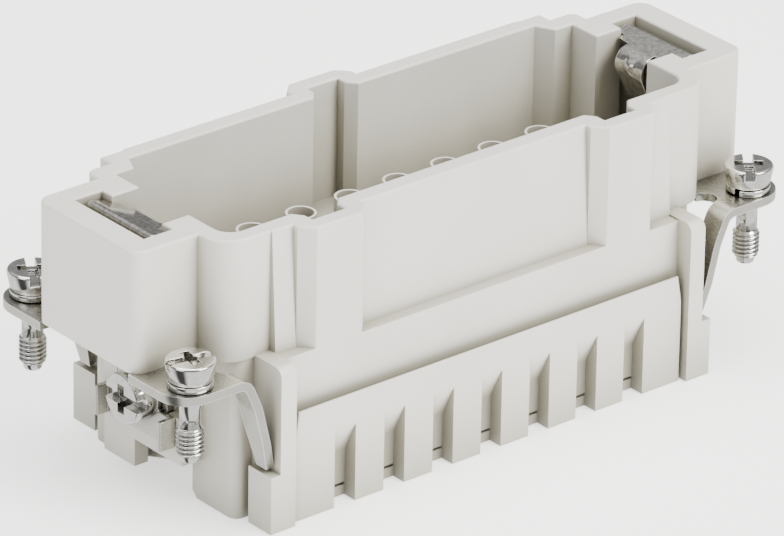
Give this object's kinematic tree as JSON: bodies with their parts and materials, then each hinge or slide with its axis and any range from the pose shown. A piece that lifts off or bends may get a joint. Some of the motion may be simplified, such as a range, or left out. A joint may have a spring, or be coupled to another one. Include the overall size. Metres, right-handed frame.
{
  "type": "heavy duty rectangular connector insert",
  "caption": "Rectangular heavy duty connector insert: keyed plastic shroud over a chambered contact holder, with sheet brackets, captive screws and an earth terminal at each end.",
  "frame": {"origin": "middle of the wiring face, at the bottom of the box", "axes": "+X along the length, +Z from the wiring face to the mating edge, -Y towards the side with two coding ridges"},
  "size_m": [0.0844, 0.034, 0.0327],
  "materials": {
    "moulded_grey": "fine satin moulded polycarbonate",
    "plated_sheet": "satin nickel-plated steel sheet",
    "plated_fastener": "bright plated steel",
    "spring_strip": "bright rolled spring strip"
  },
  "bodies": {
    "housing": {"shroud_body": "moulded_grey", "contact_holder": "moulded_grey", "bracket_left": "plated_sheet", "earth_nut_left": "plated_fastener", "bracket_right": "plated_sheet", "earth_nut_right": "plated_fastener"},
    "washer_left_front": {"lock_washer_left_front": "plated_fastener"},
    "screw_left_front": {"fixing_screw_left_front": "plated_fastener"},
    "washer_left_rear": {"lock_washer_left_rear": "plated_fastener"},
    "screw_left_rear": {"fixing_screw_left_rear": "plated_fastener"},
    "saddle_left": {"earth_saddle_left": "plated_sheet"},
    "clamp_screw_left": {"earth_screw_left": "plated_fastener"},
    "leaf_left": {"earth_leaf_left": "spring_strip"},
    "washer_right_front": {"lock_washer_right_front": "plated_fastener"},
    "screw_right_front": {"fixing_screw_right_front": "plated_fastener"},
    "washer_right_rear": {"lock_washer_right_rear": "plated_fastener"},
    "screw_right_rear": {"fixing_screw_right_rear": "plated_fastener"},
    "saddle_right": {"earth_saddle_right": "plated_sheet"},
    "clamp_screw_right": {"earth_screw_right": "plated_fastener"},
    "leaf_right": {"earth_leaf_right": "spring_strip"}
  },
  "joints": [
    {"name": "fixing_lift_left_front", "type": "slide", "parent": "housing", "child": "washer_left_front", "axis": [0, 0, 1], "range_m": [0, 0.0036]},
    {"name": "fixing_turn_left_front", "type": "hinge", "parent": "washer_left_front", "child": "screw_left_front", "pos_m": [-0.03875, -0.0135, 0.0187], "axis": [0, 0, 1], "continuous": true},
    {"name": "fixing_lift_left_rear", "type": "slide", "parent": "housing", "child": "washer_left_rear", "axis": [0, 0, 1], "range_m": [0, 0.0036]},
    {"name": "fixing_turn_left_rear", "type": "hinge", "parent": "washer_left_rear", "child": "screw_left_rear", "pos_m": [-0.03875, 0.0135, 0.0187], "axis": [0, 0, 1], "continuous": true},
    {"name": "saddle_slide_left", "type": "slide", "parent": "housing", "child": "saddle_left", "axis": [-1, 0, 0], "range_m": [0, 0.0012]},
    {"name": "clamp_turn_left", "type": "hinge", "parent": "saddle_left", "child": "clamp_screw_left", "pos_m": [-0.0351, 0, 0.0112], "axis": [-1, 0, 0], "range_deg": [0, 720]},
    {"name": "leaf_press_left", "type": "hinge", "parent": "housing", "child": "leaf_left", "pos_m": [-0.0375, 0, 0.0195], "axis": [0, -1, 0], "range_deg": [0, 3], "stiffness_Nm_per_rad": 1},
    {"name": "fixing_lift_right_front", "type": "slide", "parent": "housing", "child": "washer_right_front", "axis": [0, 0, 1], "range_m": [0, 0.0036]},
    {"name": "fixing_turn_right_front", "type": "hinge", "parent": "washer_right_front", "child": "screw_right_front", "pos_m": [0.03875, -0.0135, 0.0187], "axis": [0, 0, 1], "continuous": true},
    {"name": "fixing_lift_right_rear", "type": "slide", "parent": "housing", "child": "washer_right_rear", "axis": [0, 0, 1], "range_m": [0, 0.0036]},
    {"name": "fixing_turn_right_rear", "type": "hinge", "parent": "washer_right_rear", "child": "screw_right_rear", "pos_m": [0.03875, 0.0135, 0.0187], "axis": [0, 0, 1], "continuous": true},
    {"name": "saddle_slide_right", "type": "slide", "parent": "housing", "child": "saddle_right", "axis": [1, 0, 0], "range_m": [0, 0.0012]},
    {"name": "clamp_turn_right", "type": "hinge", "parent": "saddle_right", "child": "clamp_screw_right", "pos_m": [0.0351, 0, 0.0112], "axis": [1, 0, 0], "range_deg": [0, 720]},
    {"name": "leaf_press_right", "type": "hinge", "parent": "housing", "child": "leaf_right", "pos_m": [0.0375, 0, 0.0195], "axis": [0, 1, 0], "range_deg": [0, 3], "stiffness_Nm_per_rad": 1}
  ],
  "couplings": [
    {"joint": "clamp_turn_left", "follows": "saddle_slide_left", "rad_per_m": 10471},
    {"joint": "clamp_turn_right", "follows": "saddle_slide_right", "rad_per_m": 10471}
  ]
}
